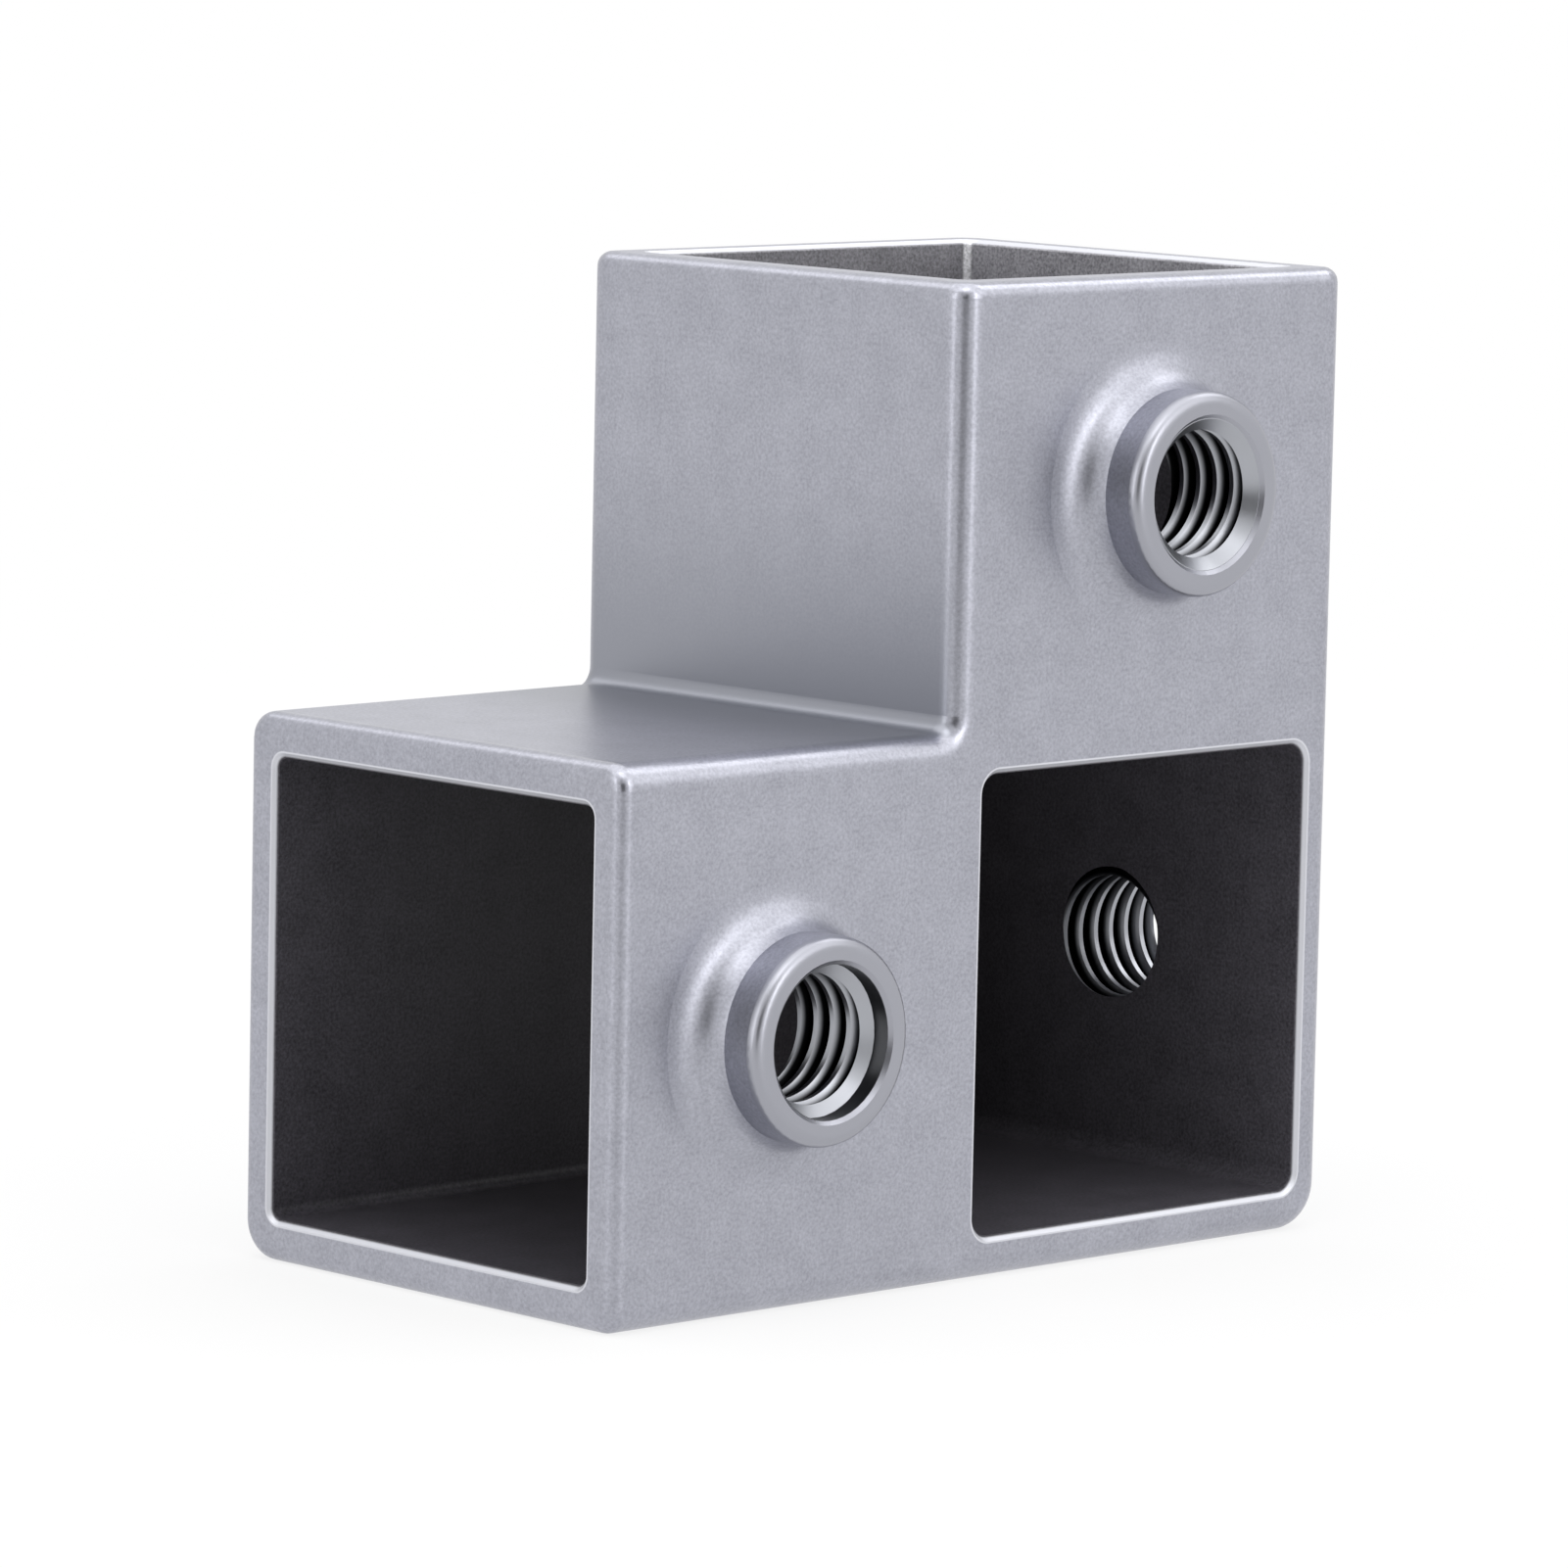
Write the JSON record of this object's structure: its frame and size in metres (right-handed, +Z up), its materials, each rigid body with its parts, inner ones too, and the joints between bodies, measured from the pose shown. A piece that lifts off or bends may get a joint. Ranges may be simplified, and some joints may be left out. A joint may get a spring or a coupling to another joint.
{
  "type": "three way corner connector",
  "caption": "Cast corner with square sockets that join tubes at right angles to each other, each socket with a tapped boss for a set screw.",
  "frame": {"origin": "the point where the centre lines of the three tubes cross, in the middle of the corner", "axes": "+Z up along the upright arm, -X along the lower arm, -Y out through the side socket's window, +X out of the side socket's set screw boss"},
  "size_m": [0.0716, 0.0408, 0.065],
  "materials": {
    "cast_metal": "satin, fine blasted grain"
  },
  "bodies": {
    "root": {"corner_connector": "cast_metal"}
  },
  "joints": []
}
